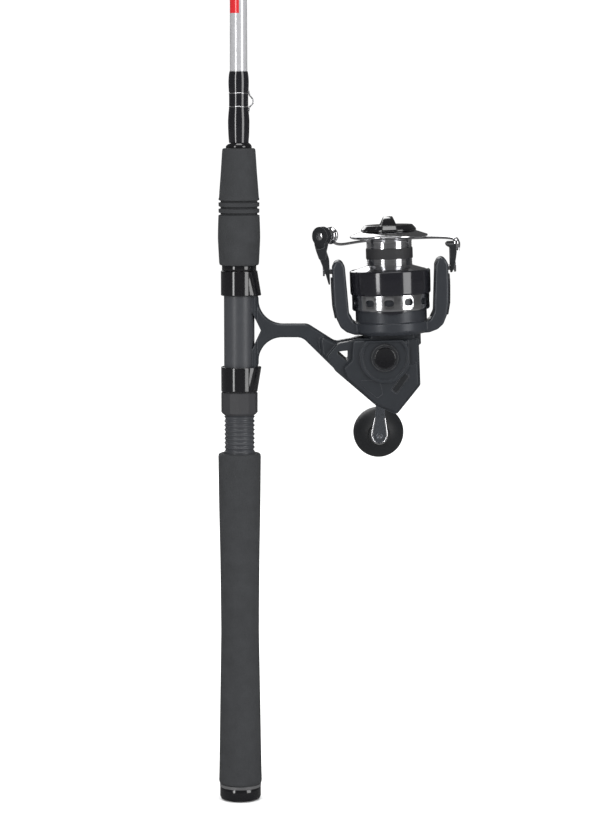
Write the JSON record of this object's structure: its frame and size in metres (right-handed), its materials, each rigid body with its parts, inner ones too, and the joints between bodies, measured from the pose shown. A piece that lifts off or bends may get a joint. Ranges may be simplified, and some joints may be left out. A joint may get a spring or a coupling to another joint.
{
  "type": "spinning fishing rod and reel",
  "caption": "Two-handed spinning rod with foam grips and a front-drag spinning reel clamped in its seat; crank, rotor, bail, spool and seat hood move.",
  "frame": {"origin": "centre of the butt cap's flat end face", "axes": "+Z along the rod from butt to tip, +X from the rod toward the reel, +Y toward the crank handle's side"},
  "size_m": [0.1765, 0.1369, 2.134],
  "materials": {
    "grip_foam": "matte foam",
    "gloss_black": "gloss",
    "seat_plastic": "satin",
    "nut_plastic": "matte",
    "silver_trim": "polished",
    "blank_paint": "pearl silver gloss",
    "wrap_resin": "clear-coated thread",
    "guide_steel": "dark polished",
    "ring_ceramic": "polished",
    "keeper_steel": "polished",
    "body_paint": "satin graphite",
    "cap_plastic": "satin",
    "rotor_graphite": "satin graphite",
    "gear_metal": "machined",
    "steel": "machined",
    "chrome_wire": "polished",
    "spool_alloy": "gloss black anodised with polished lip",
    "band_rubber": "matte",
    "washer_felt": "felt and carbon",
    "handle_alloy": "gunmetal",
    "knob_rubber": "matte",
    "nylon": "plain"
  },
  "bodies": {
    "rod": {"rod_blank": "blank_paint", "butt_cap": "gloss_black", "butt_trim_ring": "silver_trim", "rear_grip": "grip_foam", "reel_seat_barrel": "seat_plastic", "fixed_hood": "gloss_black", "hood_trim_ring": "gloss_black", "fore_grip": "grip_foam", "winding_check": "gloss_black", "hook_keeper": "keeper_steel", "keeper_wrap": "wrap_resin", "guide_frame_1": "guide_steel", "guide_frame_2": "guide_steel", "guide_frame_3": "guide_steel", "guide_frame_4": "guide_steel", "guide_frame_5": "guide_steel", "guide_ring_1": "ring_ceramic", "guide_ring_2": "ring_ceramic", "guide_ring_3": "ring_ceramic", "guide_ring_4": "ring_ceramic", "guide_ring_5": "ring_ceramic", "guide_wraps": "wrap_resin", "tip_top_tube": "guide_steel", "tip_top_ring": "ring_ceramic", "reel_body": "body_paint", "side_cover": "body_paint", "crank_cap": "cap_plastic", "cover_screws": "steel", "crank_bearings": "steel", "pinion_bearing": "steel", "roller_clutch": "steel", "clutch_retainer": "steel", "slider_rails": "steel"},
    "hood": {"sliding_hood": "gloss_black"},
    "nut": {"lock_nut": "nut_plastic"},
    "crank": {"drive_gear": "gear_metal", "handle_shank": "steel", "handle_arm": "handle_alloy", "knob_axle": "steel"},
    "knob": {"handle_knob": "knob_rubber", "knob_bushing": "nylon"},
    "oscillator": {"oscillation_gear": "nylon"},
    "rotor": {"rotor": "rotor_graphite", "pinion_gear": "gear_metal", "rotor_nut": "gear_metal", "arm_cover_left": "rotor_graphite", "arm_cover_right": "rotor_graphite", "bail_spring": "steel"},
    "bail": {"bail_wire": "chrome_wire", "roller_arm": "rotor_graphite", "bail_arm": "rotor_graphite", "bail_screws": "steel"},
    "roller": {"line_roller": "chrome_wire"},
    "shaft": {"main_shaft": "steel", "oscillation_slider": "nylon"},
    "spool": {"spool": "spool_alloy", "arbor_band": "band_rubber", "drag_washers": "washer_felt"},
    "drag_knob": {"drag_knob": "gloss_black"}
  },
  "joints": [
    {"name": "hood_slide", "type": "slide", "parent": "rod", "child": "hood", "axis": [0, 0, 1], "range_m": [-0.024, 0]},
    {"name": "nut_turn", "type": "hinge", "parent": "hood", "child": "nut", "pos_m": [0, 0, 0.294], "axis": [0, 0, 1], "range_deg": [-2701, 0]},
    {"name": "handle_crank", "type": "hinge", "parent": "rod", "child": "crank", "pos_m": [0.10557, 0, 0.32899], "axis": [0, 1, 0], "continuous": true},
    {"name": "knob_spin", "type": "hinge", "parent": "crank", "child": "knob", "pos_m": [0.10371, 0, 0.26252], "axis": [0, 1, 0], "continuous": true},
    {"name": "rotor_spin", "type": "hinge", "parent": "rod", "child": "rotor", "pos_m": [0.1115, 0, 0.331], "axis": [-0.0349, 0, 0.9994], "continuous": true},
    {"name": "oscillation_turn", "type": "hinge", "parent": "rod", "child": "oscillator", "pos_m": [0.10608, 0, 0.3143], "axis": [0, 1, 0], "continuous": true},
    {"name": "bail_flip", "type": "hinge", "parent": "rotor", "child": "bail", "pos_m": [0.10937, 0, 0.39196], "axis": [0.9994, 0, 0.0349], "range_deg": [0, 105], "stiffness_Nm_per_rad": 0.01, "springref_deg": -17.19},
    {"name": "roller_spin", "type": "hinge", "parent": "bail", "child": "roller", "pos_m": [0.06403, -0.00251, 0.4164], "axis": [0.6194, 0.7848, 0.0216], "continuous": true},
    {"name": "spool_oscillation", "type": "slide", "parent": "rod", "child": "shaft", "axis": [-0.0349, 0, 0.9994], "range_m": [-0.006, 0.008]},
    {"name": "spool_drag_turn", "type": "hinge", "parent": "shaft", "child": "spool", "pos_m": [0.10937, 0, 0.39196], "axis": [-0.0349, 0, 0.9994], "continuous": true},
    {"name": "drag_knob_turn", "type": "hinge", "parent": "shaft", "child": "drag_knob", "pos_m": [0.10841, 0, 0.41955], "axis": [-0.0349, 0, 0.9994], "range_deg": [-360, 360]}
  ],
  "couplings": [
    {"joint": "nut_turn", "follows": "hood_slide", "rad_per_m": 1963.5},
    {"joint": "rotor_spin", "follows": "handle_crank", "ratio": 5.2},
    {"joint": "oscillation_turn", "follows": "handle_crank", "ratio": -0.5}
  ]
}
